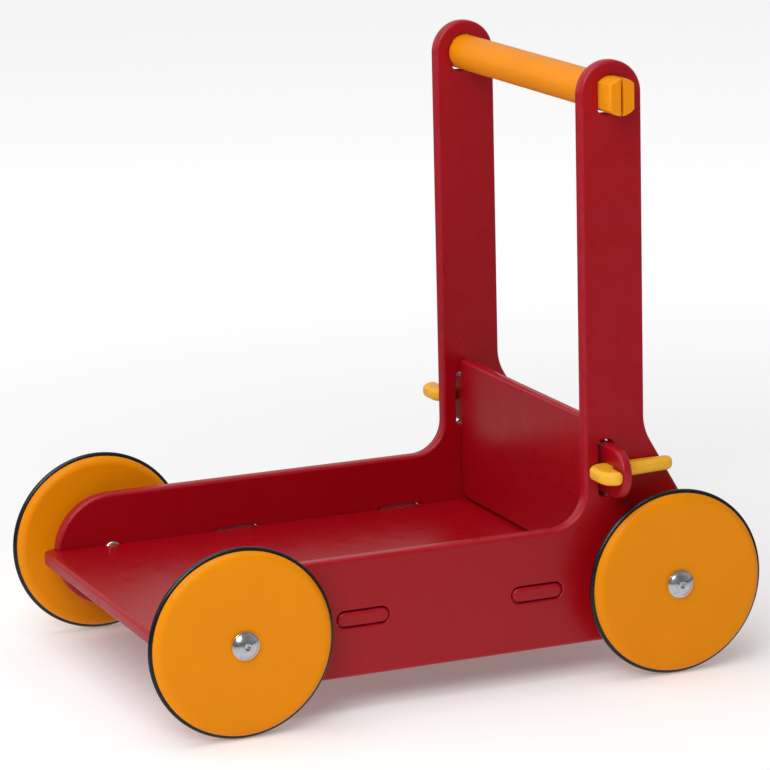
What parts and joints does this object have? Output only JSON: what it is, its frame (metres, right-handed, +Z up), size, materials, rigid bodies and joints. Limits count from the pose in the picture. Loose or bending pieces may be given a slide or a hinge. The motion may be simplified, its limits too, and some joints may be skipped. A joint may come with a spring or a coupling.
{
  "type": "push-along wagon",
  "caption": "Child's wooden push-along wagon: a low tray between L-shaped side boards, a round push bar on top and disc wheels with rubber tyres.",
  "frame": {"origin": "on the floor, midway between the axles and between the two side boards", "axes": "+X towards the left side board, +Y towards the push bar, -Y towards the open front, +Z up"},
  "size_m": [0.377, 0.531, 0.5034],
  "materials": {
    "red_paint": "satin paint on board",
    "orange_paint": "satin paint on wood",
    "yellow_paint": "satin paint on wood",
    "tyre_rubber": "smooth rubber strip",
    "zinc_steel": "zinc plated",
    "nylon": "moulded nylon"
  },
  "bodies": {
    "frame": {"left_side_board": "red_paint", "right_side_board": "red_paint", "deck": "red_paint", "back_board": "red_paint", "push_bar": "orange_paint", "front_left_bolt": "zinc_steel", "front_left_spacer": "nylon", "front_left_washers": "zinc_steel", "front_left_sleeve_nut": "zinc_steel", "front_right_bolt": "zinc_steel", "front_right_spacer": "nylon", "front_right_washers": "zinc_steel", "front_right_sleeve_nut": "zinc_steel", "rear_left_bolt": "zinc_steel", "rear_left_spacer": "nylon", "rear_left_washers": "zinc_steel", "rear_left_sleeve_nut": "zinc_steel", "rear_right_bolt": "zinc_steel", "rear_right_spacer": "nylon", "rear_right_washers": "zinc_steel", "rear_right_sleeve_nut": "zinc_steel"},
    "front_left_wheel": {"front_left_disc": "orange_paint", "front_left_tyre": "tyre_rubber", "front_left_bush": "nylon"},
    "front_right_wheel": {"front_right_disc": "orange_paint", "front_right_tyre": "tyre_rubber", "front_right_bush": "nylon"},
    "rear_left_wheel": {"rear_left_disc": "orange_paint", "rear_left_tyre": "tyre_rubber", "rear_left_bush": "nylon"},
    "rear_right_wheel": {"rear_right_disc": "orange_paint", "rear_right_tyre": "tyre_rubber", "rear_right_bush": "nylon"},
    "left_locking_wedge": {"left_wedge": "yellow_paint"},
    "right_locking_wedge": {"right_wedge": "yellow_paint"}
  },
  "joints": [
    {"name": "front_left_spin", "type": "hinge", "parent": "frame", "child": "front_left_wheel", "pos_m": [0.172, -0.1885, 0.077], "axis": [1, 0, 0], "continuous": true},
    {"name": "front_right_spin", "type": "hinge", "parent": "frame", "child": "front_right_wheel", "pos_m": [-0.172, -0.1885, 0.077], "axis": [1, 0, 0], "continuous": true},
    {"name": "rear_left_spin", "type": "hinge", "parent": "frame", "child": "rear_left_wheel", "pos_m": [0.172, 0.1885, 0.077], "axis": [1, 0, 0], "continuous": true},
    {"name": "rear_right_spin", "type": "hinge", "parent": "frame", "child": "rear_right_wheel", "pos_m": [-0.172, 0.1885, 0.077], "axis": [1, 0, 0], "continuous": true},
    {"name": "left_wedge_pull", "type": "slide", "parent": "frame", "child": "left_locking_wedge", "axis": [0, -1, 0], "range_m": [0, 0.05]},
    {"name": "right_wedge_pull", "type": "slide", "parent": "frame", "child": "right_locking_wedge", "axis": [0, -1, 0], "range_m": [0, 0.05]}
  ]
}
